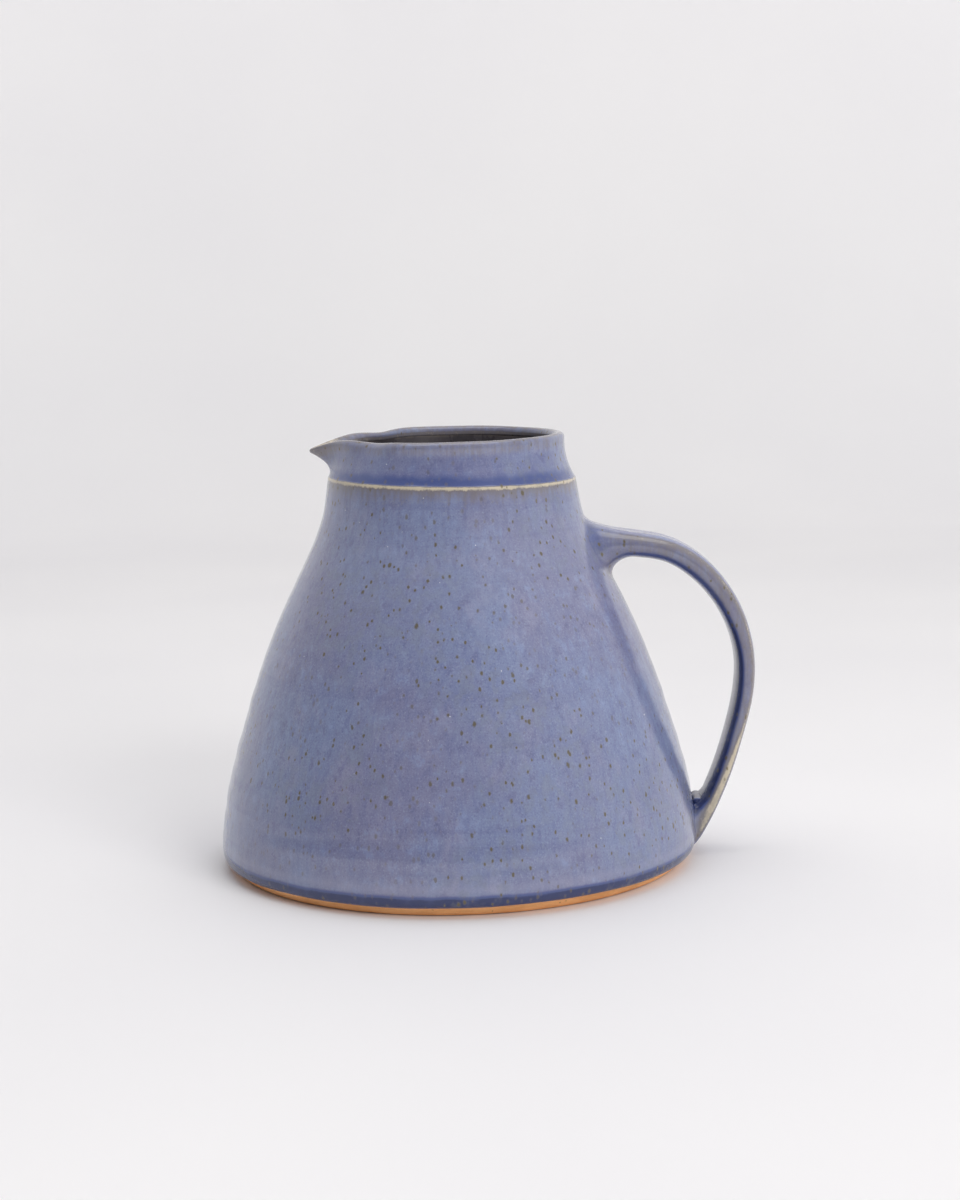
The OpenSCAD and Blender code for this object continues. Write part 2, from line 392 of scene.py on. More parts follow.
def coat_profile(heights):
    """The coat's outline from its lower edge up the wall, over the rim and just inside it."""
    profile = [(wall_r(z) - 0.3 * (1 - step(z, EDGE_Z, 3.5)), z) for z in heights]
    profile += ridge_profile(0) + collar_profile(0, 22) + rim_arc(0, 8, 172, 16)
    profile += [(collar_in(z), z) for z in (RIM_Z - 0.1, RIM_Z - 0.7, RIM_Z - 1.3)]
    return np.array(profile)


def opening_loop(joint, first):
    """The opening's edge as (row, column), once round from the side that the strap's outer face joins."""
    half, tall = joint["half_cols"], joint["rows"]
    near, far = (first + tall, first) if joint["up"] > 0 else (first, first + tall)
    inward = -1 if joint["up"] > 0 else 1
    loop = [(near, j) for j in range(0, half)]
    loop += [(near + inward * i, half) for i in range(tall)]
    loop += [(far, j) for j in range(half, -half, -1)]
    loop += [(far - inward * i, -half) for i in range(tall)]
    return loop + [(near, j) for j in range(-half, 0)]


def loop_angles(joint, loop, profile):
    """The place round the strap's section that each point of an opening's edge belongs to."""
    z = np.array([profile[i][1] for i, j in loop])
    y = np.array([math.sin(2 * math.pi * j / COLUMNS) for i, j in loop]) * wall_r(z)
    rise = joint["up"] * (z - joint["z"])
    angle = np.arctan2(y / joint["half_y"], rise / np.where(rise > 0, joint["out"], joint["crook"]))
    return np.unwrap(angle)


WALL_POINT, STRAP_POINT, FILLET_POINT = 0, 1, 2


class Coat:
    """Points of the outer coat, each with its kind and its tints, and the faces between them."""

    def __init__(self, points, faces):
        self.faces = faces
        self.blocks, self.kinds, self.thins, self.pools_and_shade = [], [], [], []
        self.total = 0
        self.add(points, WALL_POINT)

    def add(self, ring, kind, thin=0.0, pool_and_shade=0.0):
        self.blocks.append(ring)
        self.kinds.append(np.full(len(ring), kind))
        self.thins.append(np.zeros(len(ring)) + thin)
        self.pools_and_shade.append(np.zeros(len(ring)) + pool_and_shade)
        numbers = list(range(self.total, self.total + len(ring)))
        self.total += len(ring)
        return numbers

    def add_strap(self, upper_angles, lower_angles):
        """The strap's rings; returns the first and the last as numbers, ring, tints and direction."""
        line, tangent = strap_frames(STRAP_RINGS)
        ends = []
        last = None
        for i, (p, t) in enumerate(zip(line, tangent)):
            s = i / (len(line) - 1)
            angles = (1 - s) * upper_angles + s * lower_angles
            ring, tints = strap_ring(p, t, angles, 0), strap_tint(s, angles)
            numbers = self.add(ring, STRAP_POINT, *tints)
            if last:
                self.faces += ring_faces(last, numbers)
            if i in (0, len(line) - 1):
                way = -1 if i == 0 else 1
                ends.append((numbers, ring, tints, [way * t[0], 0, way * t[1]]))
            last = numbers
        return ends

    def add_joint(self, joint, end, angles, loop, profile, reach):
        """The fillet from the strap's end to the wall, and the wall from there out to its opening."""
        last, ring, tint, direction = end
        root = root_tint(joint, angles)
        for k, block in enumerate(fillet(ring, direction, joint, angles, 0, FILLET_RINGS, *reach)):
            share = step((k + 1) / (FILLET_RINGS + 1), 0, 1)
            mixed = [a * (1 - share) + b * share for a, b in zip(tint, root)]
            new = self.add(block, FILLET_POINT, *mixed)
            self.faces += ring_faces(last, new)
            last = new
        z0, theta0 = joint_ring(joint, angles)
        z1 = np.array([profile[i][1] for i, j in loop])
        theta1 = np.array([2 * math.pi * j / COLUMNS for i, j in loop])
        for s in np.linspace(0, 1, SPREAD_RINGS + 2)[1:-1]:
            z, theta = z0 + (z1 - z0) * s, theta0 + (theta1 - theta0) * s
            faded = [part * (1 - s) ** 2 for part in root]
            new = self.add(on_wall(z, theta, 0), WALL_POINT, *faded)
            self.faces += ring_faces(last, new)
            last = new
        self.faces += ring_faces(last, [i * COLUMNS + j % COLUMNS for i, j in loop])


def glaze_marks(coat, profile):
    """What the glaze does: tan where it breaks thin and for painted glare, deep blue where it pools and for
    painted shade, lighter in two bands.
    """
    points = np.concatenate(coat.blocks)
    on_grid = len(profile) * COLUMNS
    theta = np.arctan2(points[:, 1], points[:, 0])
    on_pot = np.concatenate(coat.kinds) == WALL_POINT
    thin, pool_and_shade = np.concatenate(coat.thins), np.concatenate(coat.pools_and_shade)
    plain_z = np.concatenate([np.repeat(profile[:, 1], COLUMNS), points[on_grid:, 2]])
    number = np.arange(len(points))
    inside_rim = (number >= on_grid - 3 * COLUMNS) & (number < on_grid)
    wobble = waver(theta * 3, 5)
    broken = waver(theta * 9, 3) + waver(theta * 17, 6)
    # the cream line on the ridge, the tan below it and the deep blue above it
    thin += on_pot * (0.70 + 0.13 * broken) * bump(plain_z, 133.4, 0.68)
    thin += on_pot * 0.36 * step(plain_z, 125.5 + wobble, 133.2) * (plain_z <= 133.7)
    above_ridge = step(plain_z, 133.8, 134.3) * (1 - step(plain_z, 134.8 + 0.4 * wobble, 138.2))
    pool_and_shade += on_pot * 0.72 * above_ridge
    # the collar, the shoulder and the rim
    pool_and_shade += on_pot * 0.27 * step(plain_z, 135, 138) * (1 - step(plain_z, 141.5, 145))
    thin += on_pot * 0.10 * step(plain_z, 75, 112) * (plain_z < 133)
    thin += on_pot * 0.30 * step(plain_z, 141.5 + 0.8 * wobble, 145.0)
    thin = np.where(inside_rim, 0.6, thin)
    # the bevel over the foot
    pool_and_shade += on_pot * 1.0 * (1 - step(plain_z, 6.0, 8.8)) * step(plain_z, 3.0, 3.5)
    # lighter in a narrow band at the widest point over the foot and in a broad one on the shoulder
    light = on_pot * (0.7 * bump(plain_z, 9.6, 1.6) + 0.3 * bump(plain_z, 108, 15))
    lip = bump(degrees_from_lip(theta), 0, 16) * step(plain_z, 137, 142)
    thin += on_pot * 0.35 * lip
    thin += on_pot * (0.22 + 0.10 * broken) * step(plain_z, 147.1, 147.6)
    return dict(thin=np.clip(thin, 0, 1.2), pool_and_shade=np.clip(pool_and_shade, 0, 1), light=light)


def relax(obj, chosen):
    """Evens out the chosen points of a mesh."""
    bm = bmesh.new()
    bm.from_mesh(obj.data)
    verts = [v for v in bm.verts if chosen[v.index]]
    for _ in range(2):
        bmesh.ops.smooth_vert(bm, verts=verts, factor=0.35, use_axis_x=True, use_axis_y=True, use_axis_z=True)
    bm.to_mesh(obj.data)
    bm.free()


def build_outer_coat():
    """One continuous coat over wall, collar, rim and strap, with soft fillets where the strap joins."""
    heights, first_lower, first_upper = coat_rows()
    profile = coat_profile(heights)
    theta = np.arange(COLUMNS) * 2 * math.pi / COLUMNS
    points = place(profile[:, :1], profile[:, 1:], theta[None, :], 1.0).reshape(-1, 3)
    skip = [(first + i, j % COLUMNS) for joint, first in ((LOWER, first_lower), (UPPER, first_upper))
            for i in range(joint["rows"]) for j in range(-joint["half_cols"], joint["half_cols"])]
    parts = Coat(points, grid_faces(len(profile), COLUMNS, skip))

    lower_loop, upper_loop = opening_loop(LOWER, first_lower), opening_loop(UPPER, first_upper)
    assert len(lower_loop) == len(upper_loop)
    lower_angles = loop_angles(LOWER, lower_loop, profile)
    upper_angles = loop_angles(UPPER, upper_loop, profile)
    top_end, low_end = parts.add_strap(upper_angles, lower_angles)
    parts.add_joint(UPPER, top_end, upper_angles, upper_loop, profile, ((13, 13, 13), (12, 12, 12)))
    parts.add_joint(LOWER, low_end, lower_angles, lower_loop, profile, ((5, 9, 24), (4.5, 4, 9)))

    coat = make_object("glaze_coat", np.concatenate(parts.blocks), parts.faces, glaze_marks(parts, profile))
    relax(coat, np.concatenate(parts.kinds) == FILLET_POINT)
    thicken(coat, COAT)
    return coat


def build_liner():
    """The coat poured inside, from just below the rim to the middle of the floor."""
    profile = np.array(inside_profile(LINER_DEPTH))
    columns = 192
    theta = np.arange(columns) * 2 * math.pi / columns
    points = place(profile[:, :1], profile[:, 1:], theta[None, :]).reshape(-1, 3)
    faces = grid_faces(len(profile), columns)
    middle = len(points)
    last = (len(profile) - 1) * columns
    points = np.vstack([points, [0, 0, profile[-1][1]]])
    faces += [(last + j, last + (j + 1) % columns, middle) for j in range(columns)]
    z = points[:, 2]
    thin = 0.75 * step(z, 142.5, 146.5)
    pool_and_shade = 0.5 * (1 - step(z, 8, 16))
    liner = make_object("glaze_liner", points, faces, dict(thin=thin, pool_and_shade=pool_and_shade))
    # the coat's thickness goes into the clay, away from the hollow
    face_the_axis(liner)
    thicken(liner, COAT)
    return liner


def face_the_axis(obj):
    """Makes the faces of an open cup look towards its axis."""
    bm = bmesh.new()
    bm.from_mesh(obj.data)
    middles = [f.calc_center_median() for f in bm.faces]
    outward = sum(f.normal.dot(Vector((c.x, c.y, 0))) for f, c in zip(bm.faces, middles))
    if outward > 0:
        bmesh.ops.reverse_faces(bm, faces=bm.faces)
    bm.to_mesh(obj.data)
    bm.free()


def build_clay_pot():
    """The thrown pot under its glaze: bare at the foot, with turning marks on its underside."""
    under = [(r, 2.0 + 0.07 * math.sin(r / 0.9) + 0.05 * math.sin(r / 2.3))
             for r in np.linspace(0.8, 62.6, 70)]
    ring = [(63.4, 1.7), (64.6, 0.5), (65.4, 0.08), (66.2, 0.0),
            (70, 0.0), (75.4, 0.0), (76.3, 0.08), (77.1, 0.35)]
    band = [(77.7, 0.8), (78.3, 1.3), (78.7, 1.8), (79.1, 2.2), (79.3, 2.5)]
    depth = UNDER_COAT
    wall = [(wall_r(z) - depth - 0.12 * (z < 4), z) for z in np.concatenate([
        np.linspace(3.0, 10, 9), np.linspace(12, 132.6, 62)])]
    profile = under + ring + band + wall + ridge_profile(depth) + collar_profile(depth, 16)
    profile += rim_arc(depth, 10, 170, 9) + inside_profile(LINER_DEPTH + depth)
    profile = np.array(profile)
    columns = 240
    theta = np.arange(columns) * 2 * math.pi / columns
    points = place(profile[:, :1], profile[:, 1:], theta[None, :], 0.0).reshape(-1, 3)
    faces = grid_faces(len(profile), columns)
    low, high = len(points), len(points) + 1
    last = (len(profile) - 1) * columns
    points = np.vstack([points, [0, 0, profile[0][1]], [0, 0, profile[-1][1]]])
    faces += [(low, (j + 1) % columns, j) for j in range(columns)]
    faces += [(last + j, last + (j + 1) % columns, high) for j in range(columns)]
    return make_object("clay_pot", points, faces)


def build_clay_handle():
    """The pulled strap under its glaze, ending on the slip at both joints."""
    n = 48
    angles = np.arange(n) * 2 * math.pi / n
    line, tangent = strap_frames(90)
    depth = COAT + 0.05
    rings = [strap_ring(p, t, angles, depth) for p, t in zip(line, tangent)]
    # the clay's joints are a little smaller than the glaze's
    direction = [-tangent[0][0], 0, -tangent[0][1]]
    top = fillet(rings[0], direction, dict(UPPER, out=9.0, crook=9.0, half_y=11.8), angles, COAT, 7,
                 (11, 11, 11), (9, 9, 9))
    direction = [tangent[-1][0], 0, tangent[-1][1]]
    end = fillet(rings[-1], direction, dict(LOWER, out=4.0, crook=8.6, half_y=9.2), angles, COAT, 7,
                 (4, 8, 17), (3.5, 3, 8))
    rings = top[::-1] + rings + end
    return closed_tube("clay_handle", rings)


def closed_tube(name, rings):
    """A tube through rings of points, closed with a fan of faces at each end."""
    n = len(rings[0])
    points = np.concatenate(rings + [[rings[0].mean(axis=0)], [rings[-1].mean(axis=0)]])
    faces = grid_faces(len(rings), n)
    a, b = len(points) - 2, len(points) - 1
    last = (len(rings) - 1) * n
    faces += [(a, (j + 1) % n, j) for j in range(n)]
    faces += [(last + j, last + (j + 1) % n, b) for j in range(n)]
    return make_object(name, points, faces)


def build_slip(name, joint, grow):
    """A thin pad of slip on the clay wall, thickest in its middle."""
    n = 48
    angles = np.arange(n) * 2 * math.pi / n
    rings = []
    flat = [(0.25, 0.0), (0.6, 0.0), (0.9, 0.0), (1.0, 0.12)]
    domed = [(0.93, 0.3), (0.6, 0.42), (0.25, 0.45)]
    for part, lift in flat + domed:
        z, theta = joint_ring(joint, angles, grow * part)
        rings.append(on_wall(z, theta, COAT + 0.05 - lift))
    return closed_tube(name, rings)


def build_coil():
    """The small roll of clay in the crook of the lower joint, pressed a little flat."""
    middle_x, middle_z, half_length, half_thick, half_tall = 83.1, 18.6, 5.6, 1.7, 1.1
    n = 32
    angles = np.arange(n) * 2 * math.pi / n
    rings = []
    for s in np.linspace(-1, 1, 41):
        y = half_length * math.sin(s * math.pi / 2)
        swell = max(math.sqrt(max(0.0, 1 - abs(s) ** 6)) * (1 + 0.05 * math.sin(9 * s + 1)), 0.05)
        x = middle_x - 0.006 * y * y + 0.1 * math.sin(3 * s)
        z = middle_z + 0.25 * math.sin(2.2 * s + 0.4)
        rings.append(np.stack([x + half_thick * swell * np.cos(angles), np.full(n, y),
                               z + half_tall * swell * np.sin(angles)], axis=-1))
    coil = closed_tube("crook_coil", rings)
    y = np.array([v.co.y for v in coil.data.vertices]) / MM
    z = np.array([v.co.z for v in coil.data.vertices]) / MM
    # tan of thin glaze on top; the navy below it is pooled glaze and painted shade in the crook
    top = step(z, middle_z, middle_z + 1.0) * (1 - step(np.abs(y), 4.2, half_length))
    set_attributes(coil.data, dict(thin=0.42 * top, pool_and_shade=0.95 * (1 - top), light=0 * top))
    return coil


# ---------------------------------------------------------------- materials
def srgb(r, g, b):
    """An sRGB colour from 0 to 255 as the linear colour that a shader takes."""
    def linear(c):
        c /= 255
        return c / 12.92 if c <= 0.04045 else ((c + 0.055) / 1.055) ** 2.4
    return (linear(r), linear(g), linear(b), 1)


class Shader:
    """Short calls for building one node material."""

    def __init__(self, name):
        self.material = bpy.data.materials.new(name)
        self.material.use_nodes = True
        self.nodes = self.material.node_tree.nodes
        self.links = self.material.node_tree.links
        self.nodes.clear()
        out = self.nodes.new("ShaderNodeOutputMaterial")
        self.bsdf = self.nodes.new("ShaderNodeBsdfPrincipled")
        self.links.new(self.bsdf.outputs[0], out.inputs[0])
        self.coords = self.nodes.new("ShaderNodeTexCoord").outputs["Object"]

    def put(self, socket, value):
        if isinstance(value, bpy.types.NodeSocket):
            self.links.new(value, socket)
        else:
            socket.default_value = value

    def space(self, x, y, z):
        """Object coordinates with x, y and z in features per metre."""
        node = self.nodes.new("ShaderNodeMapping")
        node.inputs["Scale"].default_value = (x, y, z)
        self.links.new(self.coords, node.inputs["Vector"])
        return node.outputs[0]

    def noise(self, space, detail=3.0, rough=0.55, distortion=0.0):
        node = self.nodes.new("ShaderNodeTexNoise")
        node.inputs["Scale"].default_value = 1
        node.inputs["Detail"].default_value = detail
        node.inputs["Roughness"].default_value = rough
        node.inputs["Distortion"].default_value = distortion
        self.links.new(space, node.inputs["Vector"])
        return node.outputs["Fac"]

    def cells(self, space):
        """Distance to the nearest point of a scatter, and that point's random colour."""
        node = self.nodes.new("ShaderNodeTexVoronoi")
        node.inputs["Scale"].default_value = 1
        self.links.new(space, node.inputs["Vector"])
        return node.outputs["Distance"], node.outputs["Color"]

    def map(self, value, from_lo, from_hi, to_lo=0.0, to_hi=1.0, smooth=True):
        node = self.nodes.new("ShaderNodeMapRange")
        node.interpolation_type = "SMOOTHSTEP" if smooth else "LINEAR"
        self.put(node.inputs["Value"], value)
        limits = {"From Min": from_lo, "From Max": from_hi, "To Min": to_lo, "To Max": to_hi}
        for key, number in limits.items():
            self.put(node.inputs[key], number)
        return node.outputs[0]

    def math(self, kind, a, b=0.0):
        node = self.nodes.new("ShaderNodeMath")
        node.operation = kind
        self.put(node.inputs[0], a)
        self.put(node.inputs[1], b)
        return node.outputs[0]

    def mix(self, factor, a, b, blend="MIX"):
        node = self.nodes.new("ShaderNodeMix")
        node.data_type = "RGBA"
        node.blend_type = blend
        self.put(node.inputs["Factor"], factor)
        self.put(node.inputs["A"], a)
        self.put(node.inputs["B"], b)
        return node.outputs["Result"]

    def attribute(self, name):
        node = self.nodes.new("ShaderNodeAttribute")
        node.attribute_name = name
        return node.outputs["Fac"]

    def channel(self, colour, key):
        node = self.nodes.new("ShaderNodeSeparateColor")
        self.links.new(colour, node.inputs[0])
        return node.outputs[key]

    def bumps(self, height, strength, distance, normal=None):
        node = self.nodes.new("ShaderNodeBump")
        node.inputs["Strength"].default_value = strength
        node.inputs["Distance"].default_value = distance
        self.put(node.inputs["Height"], height)
        if normal is not None:
            self.links.new(normal, node.inputs["Normal"])
        return node.outputs[0]


def specks(sh, per_metre, smallest, largest, share, stretch=0.72):
    """A mask of round specks: per_metre cells a metre, radii as a share of a cell, in part of the cells."""
    wobble = sh.noise(sh.space(per_metre * 3.1, per_metre * 3.1, per_metre * 3.1), 1)
    distance, colour = sh.cells(sh.space(per_metre, per_metre, per_metre * stretch))
    distance = sh.math("ADD", distance, sh.map(wobble, 0.3, 0.7, -0.035, 0.035))
    pick = sh.channel(colour, "Red")
    size = sh.map(sh.channel(colour, "Green"), 0, 1, smallest, largest, smooth=False)
    near = sh.math("DIVIDE", distance, size)
    mask = sh.map(near, 0.55, 1.15, 1, 0)
    return sh.math("MULTIPLY", mask, sh.math("LESS_THAN", pick, share))


def breaks_pools_and_painted_light(sh, colour, clouds, streaks, grain):
    """Thin glaze shows the clay's iron: grey, then tan, then cream; the same tan paints glare. Where it pools
    it is navy, and navy paints shade.
    """
    thin, pool_and_shade = sh.attribute("thin"), sh.attribute("pool_and_shade")
    ragged = sh.math("ADD", thin, sh.map(streaks, 0.2, 0.8, -0.13, 0.13))
    ragged = sh.math("ADD", ragged, sh.map(grain, 0.2, 0.8, -0.10, 0.10))
    colour = sh.mix(sh.map(ragged, 0.08, 0.62, 0, 0.85), colour, srgb(124, 117, 116))
    colour = sh.mix(sh.map(ragged, 0.62, 1.0, 0, 0.95), colour, srgb(204, 192, 168))
    deep = sh.math("ADD", pool_and_shade, sh.map(clouds, 0.3, 0.7, -0.10, 0.10))
    colour = sh.mix(sh.map(deep, 0.12, 0.72, 0, 0.92), colour, srgb(66, 80, 134))
    return sh.mix(sh.map(deep, 0.74, 1.0, 0, 0.8), colour, srgb(30, 40, 84))


def iron_specks(sh, colour, mottle):
    """Specks and rusty clouds of iron in crowds, and a few pinholes painted near-white as glints; returns the
    two masks too.
    """
    crowd = sh.noise(sh.space(20, 20, 20), 2)
    big = specks(sh, 230, 0.10, 0.17, 0.34, 0.6)
    small = specks(sh, 440, 0.13, 0.25, 0.70, 0.6)
    big = sh.math("MULTIPLY", big, sh.map(crowd, 0.40, 0.54, 0.30, 1))
    small = sh.math("MULTIPLY", small, sh.map(crowd, 0.38, 0.53, 0.20, 1))
    iron = sh.math("MAXIMUM", big, small)
    halo = specks(sh, 440, 0.24, 0.36, 0.70, 0.6)
    colour = sh.mix(sh.math("MULTIPLY", halo, 0.20), colour, srgb(128, 120, 112))
    rusty = sh.math("MULTIPLY", sh.map(crowd, 0.45, 0.60), sh.map(mottle, 0.46, 0.62, 0, 0.30))
    colour = sh.mix(rusty, colour, srgb(116, 116, 118))
    colour = sh.mix(sh.math("MULTIPLY", iron, 0.85), colour, srgb(98, 88, 58))
    # pinholes, each painted near-white as a highlight; blue_glaze also dents them
    pinhole_and_glint = specks(sh, 420, 0.05, 0.10, 0.05, 1.0)
    colour = sh.mix(sh.math("MULTIPLY", pinhole_and_glint, 0.7), colour, srgb(226, 228, 232))
    return colour, iron, pinhole_and_glint


def blue_glaze():
    """Satin blue-grey glaze with iron specks, which breaks to tan where it is thin."""
    sh = Shader("blue_grey_glaze")
    light = sh.attribute("light")
    patches = sh.noise(sh.space(26, 26, 17), 3, 0.55, 0.3)
    clouds = sh.noise(sh.space(85, 85, 60), 4, 0.6)
    streaks = sh.noise(sh.space(520, 520, 60), 3, 0.6)
    grain = sh.noise(sh.space(1900, 1900, 1700), 3, 0.6)
    fine = sh.noise(sh.space(3300, 3300, 3000), 2, 0.6)
    mottle = sh.noise(sh.space(270, 270, 210), 4, 0.62)
    turning = sh.noise(sh.space(9, 9, 230), 3, 0.6)

    colour = sh.mix(sh.map(patches, 0.36, 0.64), srgb(126, 128, 158), srgb(125, 136, 170))
    colour = sh.mix(sh.map(clouds, 0.48, 0.72, 0, 0.50), colour, srgb(146, 146, 172))
    colour = sh.mix(sh.map(mottle, 0.50, 0.72, 0, 0.55), colour, srgb(139, 154, 191))
    colour = sh.mix(sh.map(mottle, 0.28, 0.48, 0.52, 0), colour, srgb(104, 103, 138))
    colour = sh.mix(sh.map(streaks, 0.42, 0.68, 0, 0.30), colour, srgb(100, 107, 152))
    colour = sh.mix(sh.map(turning, 0.52, 0.70, 0, 0.30), colour, srgb(104, 106, 146))
    colour = sh.mix(sh.map(grain, 0.52, 0.74, 0, 0.42), colour, srgb(160, 168, 194))
    colour = sh.mix(sh.map(grain, 0.27, 0.46, 0.46, 0), colour, srgb(88, 93, 130))
    colour = sh.mix(sh.math("MULTIPLY", light, 0.42), colour, srgb(158, 160, 184))

    colour = breaks_pools_and_painted_light(sh, colour, clouds, streaks, grain)
    colour, iron, pinhole_and_glint = iron_specks(sh, colour, mottle)

    sh.put(sh.bsdf.inputs["Base Color"], colour)
    rough = sh.map(clouds, 0.3, 0.7, 0.10, 0.16)
    rough = sh.math("ADD", rough, sh.math("MULTIPLY", iron, 0.12))
    sh.put(sh.bsdf.inputs["Roughness"], rough)
    sh.bsdf.inputs["IOR"].default_value = 1.66
    skin = sh.bumps(clouds, 0.25, 0.0005)
    skin = sh.bumps(grain, 0.22, 0.00008, skin)
    skin = sh.bumps(fine, 0.10, 0.00003, skin)
    skin = sh.bumps(sh.math("MAXIMUM", iron, pinhole_and_glint), -0.35, 0.00010, skin)
    sh.put(sh.bsdf.inputs["Normal"], skin)
    return sh.material


def liner_glaze():
    """The brown-grey glaze inside."""
    sh = Shader("brown_grey_glaze")
    thin, pool_and_shade = sh.attribute("thin"), sh.attribute("pool_and_shade")
    clouds = sh.noise(sh.space(70, 70, 50), 4, 0.6)
    streaks = sh.noise(sh.space(420, 420, 45), 3, 0.6)
    grain = sh.noise(sh.space(1100, 1100, 1100), 3, 0.6)
    colour = sh.mix(sh.map(clouds, 0.35, 0.65), srgb(74, 70, 75), srgb(100, 95, 98))
    colour = sh.mix(sh.map(streaks, 0.4, 0.7, 0, 0.4), colour, srgb(74, 70, 78))
    colour = sh.mix(sh.map(grain, 0.55, 0.8, 0, 0.3), colour, srgb(126, 120, 120))
    ragged = sh.math("ADD", thin, sh.map(streaks, 0.2, 0.8, -0.12, 0.12))
    colour = sh.mix(sh.map(ragged, 0.1, 0.8, 0, 0.8), colour, srgb(158, 142, 124))
    colour = sh.mix(sh.map(pool_and_shade, 0.1, 0.6, 0, 0.6), colour, srgb(78, 84, 112))
    iron = specks(sh, 170, 0.07, 0.13, 0.35)
    colour = sh.mix(sh.math("MULTIPLY", iron, 0.75), colour, srgb(74, 58, 44))
    sh.put(sh.bsdf.inputs["Base Color"], colour)
    sh.put(sh.bsdf.inputs["Roughness"], sh.map(clouds, 0.3, 0.7, 0.24, 0.34))
    sh.bsdf.inputs["IOR"].default_value = 1.52
    sh.put(sh.bsdf.inputs["Normal"], sh.bumps(grain, 0.2, 0.0001, sh.bumps(clouds, 0.2, 0.0005)))
    return sh.material


def bare_clay(name, tone):
    """Unglazed stoneware: warm tan, fine grog and faint turning lines."""
    sh = Shader(name)
    clouds = sh.noise(sh.space(60, 60, 60), 4, 0.6)
    grit = sh.noise(sh.space(1400, 1400, 1400), 4, 0.7)
    lines = sh.noise(sh.space(60, 60, 900), 3, 0.6)
    r, g, b = tone
    colour = sh.mix(sh.map(clouds, 0.35, 0.65), srgb(r, g, b), srgb(r * 0.92, g * 0.88, b * 0.84))
    colour = sh.mix(sh.map(lines, 0.45, 0.7, 0, 0.35), colour, srgb(r * 0.84, g * 0.78, b * 0.70))
    colour = sh.mix(sh.map(grit, 0.55, 0.78, 0, 0.5), colour, srgb(min(r * 1.12, 255), g * 1.12, b * 1.14))
    iron = specks(sh, 420, 0.10, 0.20, 0.22, 1.0)
    colour = sh.mix(sh.math("MULTIPLY", iron, 0.55), colour, srgb(118, 74, 44))
    sh.put(sh.bsdf.inputs["Base Color"], colour)
    sh.put(sh.bsdf.inputs["Roughness"], sh.map(clouds, 0.3, 0.7, 0.72, 0.86))
    skin = sh.bumps(grit, 0.5, 0.00015)
    skin = sh.bumps(lines, 0.4, 0.0002, skin)
    sh.put(sh.bsdf.inputs["Normal"], skin)
    return sh.material


def plain_floor():
    """Matt and pale; it glows a little far from the pitcher, where the soft boxes don't reach."""
    sh = Shader("pale_floor")
    soft = sh.noise(sh.space(3, 3, 3), 2)
    colour = sh.mix(sh.map(soft, 0.3, 0.7), srgb(240, 238, 238), srgb(236, 234, 235))
    sh.put(sh.bsdf.inputs["Base Color"], colour)
    sh.bsdf.inputs["Roughness"].default_value = 0.7
    away = sh.nodes.new("ShaderNodeVectorMath")
    away.operation = "LENGTH"
    sh.links.new(sh.coords, away.inputs[0])
    sh.put(sh.bsdf.inputs["Emission Color"], srgb(240, 240, 242))
    sh.put(sh.bsdf.inputs["Emission Strength"], sh.map(away.outputs["Value"], 0.7, 2.0, 0, 0.34))
    return sh.material


# ---------------------------------------------------------------- stage, light and camera
def add_stage():
    """A pale floor that rises in a soft curve into a pale wall behind the pitcher."""
    wide, front, back, tall, bend = 3.2, -3.2, 1.3, 2.6, 0.35
    low = -0.00005                              # just under the foot, so that the two faces stay apart
    outline = [(front, low), (back - bend, low)]
    outline += [(back - bend + bend * math.sin(a), low + bend - bend * math.cos(a))
                for a in np.radians(np.linspace(6, 90, 15))]
    outline += [(back, tall)]
    points = [(x, y, z) for y, z in outline for x in (-wide, wide)]
    faces = [(2 * i, 2 * i + 1, 2 * i + 3, 2 * i + 2) for i in range(len(outline) - 1)]
    mesh = bpy.data.meshes.new("backdrop")
    mesh.from_pydata(points, [], faces)
    mesh.shade_smooth()
    floor = bpy.data.objects.new("backdrop", mesh)
    bpy.context.scene.collection.objects.link(floor)
    mesh.materials.append(plain_floor())


def add_light(name, energy, location, aim, size, colour=(1, 1, 1), seen=False):
    """A soft box; seen says whether the glaze mirrors it."""
    data = bpy.data.lights.new(name, "AREA")
    data.energy = energy
    data.color = colour
    data.shape = "RECTANGLE"
    data.size, data.size_y = size
    lamp = bpy.data.objects.new(name, data)
    bpy.context.scene.collection.objects.link(lamp)
    lamp.location = location
    lamp.rotation_mode = "QUATERNION"
    lamp.rotation_quaternion = (Vector(aim) - Vector(location)).to_track_quat("-Z", "Y")
    lamp.visible_glossy = seen


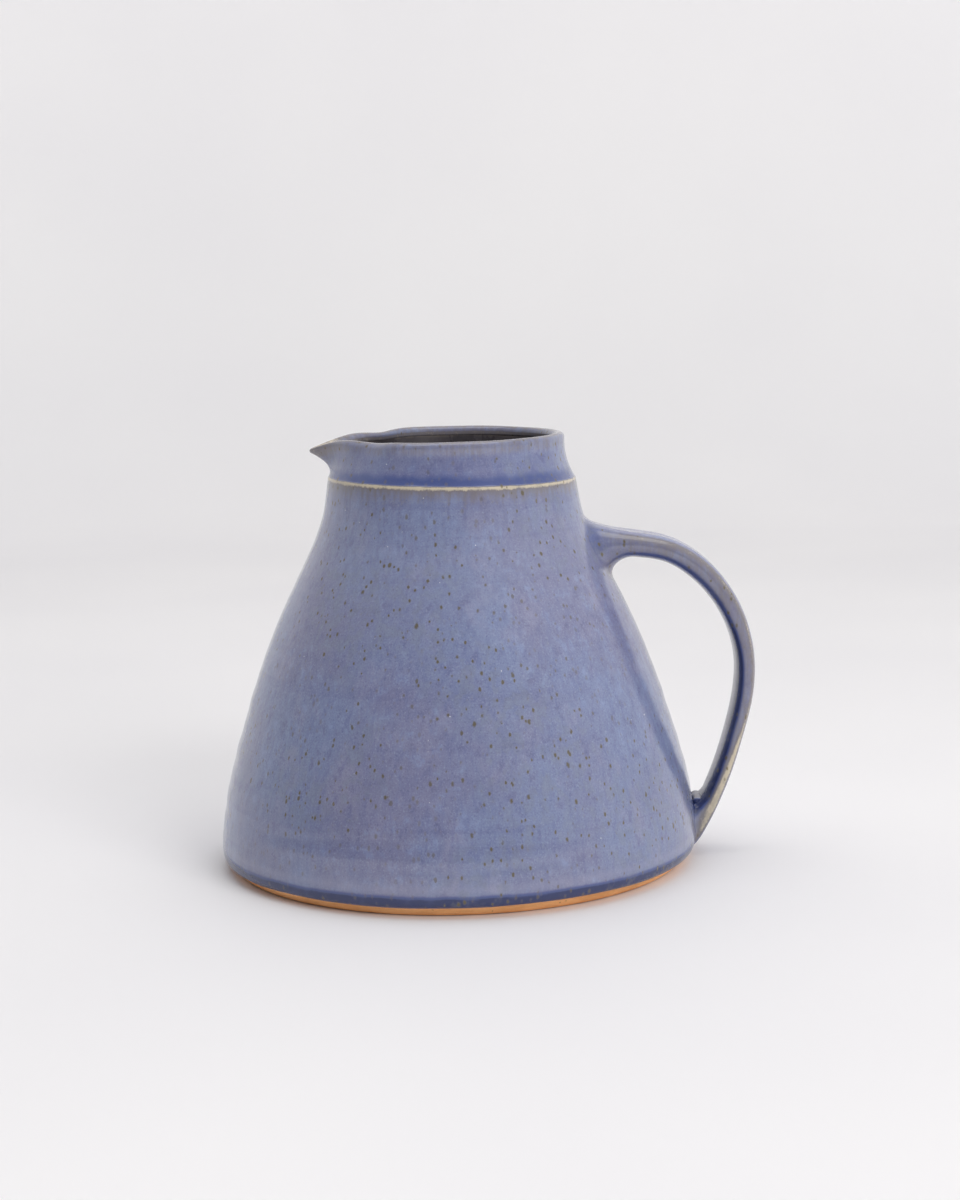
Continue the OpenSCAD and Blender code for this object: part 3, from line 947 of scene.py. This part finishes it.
def add_world():
    """An even studio: pale at the sides and above, dimmer on the camera's side."""
    world = bpy.data.worlds.new("studio")
    world.use_nodes = True
    nodes, links = world.node_tree.nodes, world.node_tree.links
    direction = nodes.new("ShaderNodeTexCoord").outputs["Generated"]
    across = nodes.new("ShaderNodeVectorMath")
    across.operation = "DOT_PRODUCT"
    across.inputs[1].default_value = (0.45, 0.89, 0.0)
    ramp = nodes.new("ShaderNodeMapRange")
    ramp.inputs["From Min"].default_value = -0.9
    ramp.inputs["From Max"].default_value = 0.1
    ramp.inputs["To Min"].default_value = 0.12
    ramp.inputs["To Max"].default_value = 0.70
    ramp.interpolation_type = "SMOOTHSTEP"
    links.new(direction, across.inputs[0])
    links.new(across.outputs["Value"], ramp.inputs["Value"])
    # where the stage ends, the camera sees plain pale studio in every direction
    seen = nodes.new("ShaderNodeMath")
    seen.operation = "MAXIMUM"
    links.new(ramp.outputs[0], seen.inputs[0])
    lit = nodes.new("ShaderNodeMath")
    lit.operation = "MULTIPLY"
    links.new(nodes.new("ShaderNodeLightPath").outputs["Is Camera Ray"], lit.inputs[0])
    lit.inputs[1].default_value = 0.78
    links.new(lit.outputs[0], seen.inputs[1])
    links.new(seen.outputs[0], nodes["Background"].inputs["Strength"])
    nodes["Background"].inputs["Color"].default_value = (0.97, 0.98, 1.0, 1)
    bpy.context.scene.world = world


def add_lights():
    """The studio, a soft box in front on the right, a weak one behind on the left and one overhead."""
    add_world()
    middle = (0, 0, 0.08)
    add_light("key_right", 17.5, (0.95, -1.5, 1.0), middle, (1.0, 1.0), (1.0, 0.99, 0.98))
    add_light("back_left", 0.6, (-1.1, 0.25, 1.0), middle, (0.8, 0.8), (0.98, 0.99, 1.0))
    add_light("top", 8.5, (0.0, 0.0, 1.6), middle, (1.6, 1.2), seen=True)


def add_camera():
    """The photograph's view: distance, height and turn found from the ellipses of foot, ridge and rim."""
    distance, height = 804 * MM, 208.4 * MM
    pitch, yaw, roll = math.radians(8.38), math.radians(0.62), math.radians(-1.21)
    focal_px, image_h = 2358.0, 1200.0
    data = bpy.data.cameras.new("camera")
    data.sensor_width = 36
    data.lens = focal_px * data.sensor_width / image_h
    forward = Vector((math.sin(yaw) * math.cos(pitch), math.cos(yaw) * math.cos(pitch), -math.sin(pitch)))
    right = Vector((math.cos(yaw), -math.sin(yaw), 0))
    up = right.cross(forward)
    right, up = math.cos(roll) * right + math.sin(roll) * up, -math.sin(roll) * right + math.cos(roll) * up
    camera = bpy.data.objects.new("camera", data)
    camera.matrix_world = Matrix((
        (right.x, up.x, -forward.x, 0), (right.y, up.y, -forward.y, -distance),
        (right.z, up.z, -forward.z, height), (0, 0, 0, 1)))
    data.clip_start, data.clip_end = 0.01, 20
    bpy.context.scene.collection.objects.link(camera)
    bpy.context.scene.camera = camera


# ---------------------------------------------------------------- the model
bpy.context.scene.view_settings.view_transform = "Standard"
add_camera()
add_stage()
add_lights()

blue = blue_glaze()
brown = liner_glaze()
clay = bare_clay("bare_stoneware", (251, 189, 128))
slip = bare_clay("joining_slip", (168, 150, 140))

coat = build_outer_coat()
liner = build_liner()
pot = build_clay_pot()
handle = build_clay_handle()
upper_slip = build_slip("upper_slip", UPPER, 0.80)
lower_slip = build_slip("lower_slip", LOWER, 0.80)
coil = build_coil()

for piece, material, slot, nodes in (
        (coat, blue, "blue_grey_glaze", ("outer_glaze", "handle_glaze")),
        (liner, brown, "brown_grey_glaze", ("liner_glaze",)),
        (pot, clay, "bare_stoneware", ("pot",)),
        (handle, clay, "bare_stoneware", ("handle",)),
        (upper_slip, slip, "joining_slip", ("upper_joint_slip",)),
        (lower_slip, slip, "joining_slip", ("lower_joint_slip",)),
        (coil, blue, "joining_slip", ("joint_coil",))):
    piece.data.materials.clear()
    piece.data.materials.append(material)
    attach(piece, "root")
    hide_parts(*nodes)

bpy.context.view_layer.update()
